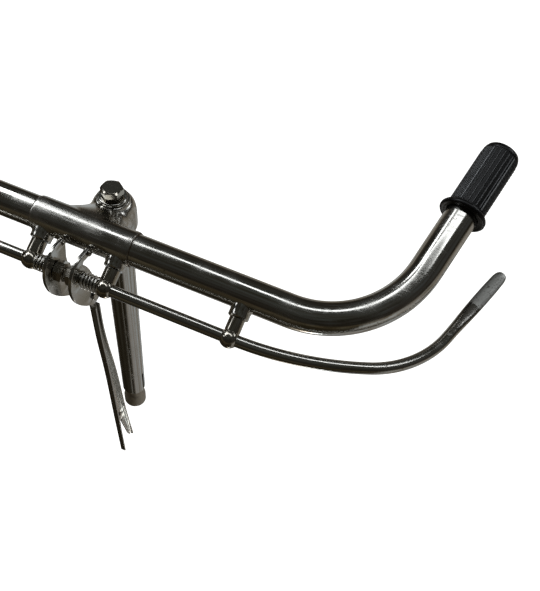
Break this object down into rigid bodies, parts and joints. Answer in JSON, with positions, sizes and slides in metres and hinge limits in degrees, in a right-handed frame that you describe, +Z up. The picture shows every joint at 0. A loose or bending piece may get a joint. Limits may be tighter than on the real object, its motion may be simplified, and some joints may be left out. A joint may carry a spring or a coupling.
{
  "type": "rod brake handlebar",
  "caption": "Swept-back roadster handlebar on an expander quill, with a pair of sprung brake levers whose rods turn in ball-ended pillars and lift a hanging pull link.",
  "frame": {"origin": "on the quill's axis, level with the lug's lower face, where the quill enters the steering column", "axes": "+X to the rider's left along the bar, +Y back to the rider, +Z up along the quill"},
  "size_m": [0.5408, 0.1851, 0.3873],
  "materials": {
    "chrome": "polished chrome plate with age marks",
    "aged_chrome": "worn chrome plate with a warm tint",
    "steel": "bare dull steel",
    "spring_steel": "bright spring wire",
    "rubber": "moulded matt black rubber"
  },
  "bodies": {
    "handlebar": {"handlebar_tube": "chrome", "stem_lug": "chrome", "quill_tube": "chrome", "bolt_washer": "aged_chrome", "pillar_collar_inner_left": "chrome", "pillar_collar_inner_right": "chrome", "pillar_collar_outer_left": "chrome", "pillar_collar_outer_right": "chrome", "pillar_inner_left": "aged_chrome", "pillar_inner_right": "aged_chrome", "pillar_outer_left": "aged_chrome", "pillar_outer_right": "aged_chrome", "return_spring_left": "spring_steel", "return_spring_right": "spring_steel", "grip_left": "rubber", "grip_right": "rubber"},
    "bolt": {"expander_bolt": "aged_chrome"},
    "cone": {"expander_cone": "steel"},
    "left_lever": {"lever_rod_left": "chrome", "crank_plate_left": "chrome", "crank_nut_left": "aged_chrome", "pivot_pin_left": "aged_chrome", "stop_pin_left": "aged_chrome"},
    "right_lever": {"lever_rod_right": "chrome", "crank_plate_right": "chrome", "crank_nut_right": "aged_chrome", "pivot_pin_right": "aged_chrome", "stop_pin_right": "aged_chrome"},
    "link": {"pull_link": "aged_chrome", "fork_rivet": "aged_chrome"}
  },
  "joints": [
    {"name": "left_lever_turn", "type": "hinge", "parent": "handlebar", "child": "left_lever", "pos_m": [0, -0.06185, 0.01206], "axis": [1, 0, 0], "range_deg": [0, 16], "stiffness_Nm_per_rad": 0.5, "springref_deg": -34.38, "deforming": ["return_spring_left"]},
    {"name": "right_lever_turn", "type": "hinge", "parent": "handlebar", "child": "right_lever", "pos_m": [0, -0.06185, 0.01206], "axis": [1, 0, 0], "range_deg": [0, 16], "stiffness_Nm_per_rad": 0.5, "springref_deg": -34.38, "deforming": ["return_spring_right"]},
    {"name": "link_pivot", "type": "hinge", "parent": "left_lever", "child": "link", "pos_m": [0, -0.05085, -0.01594], "axis": [1, 0, 0], "range_deg": [-16, 0]},
    {"name": "bolt_turn", "type": "hinge", "parent": "handlebar", "child": "bolt", "pos_m": [0, 0, 0], "axis": [0, 0, 1], "range_deg": [-1440, 0]},
    {"name": "cone_slide", "type": "slide", "parent": "handlebar", "child": "cone", "axis": [0, 0, 1], "range_m": [0, 0.00391]}
  ],
  "couplings": [
    {"joint": "link_pivot", "follows": "left_lever_turn", "ratio": -1},
    {"joint": "cone_slide", "follows": "bolt_turn", "m_per_rad": -0.0001555}
  ]
}
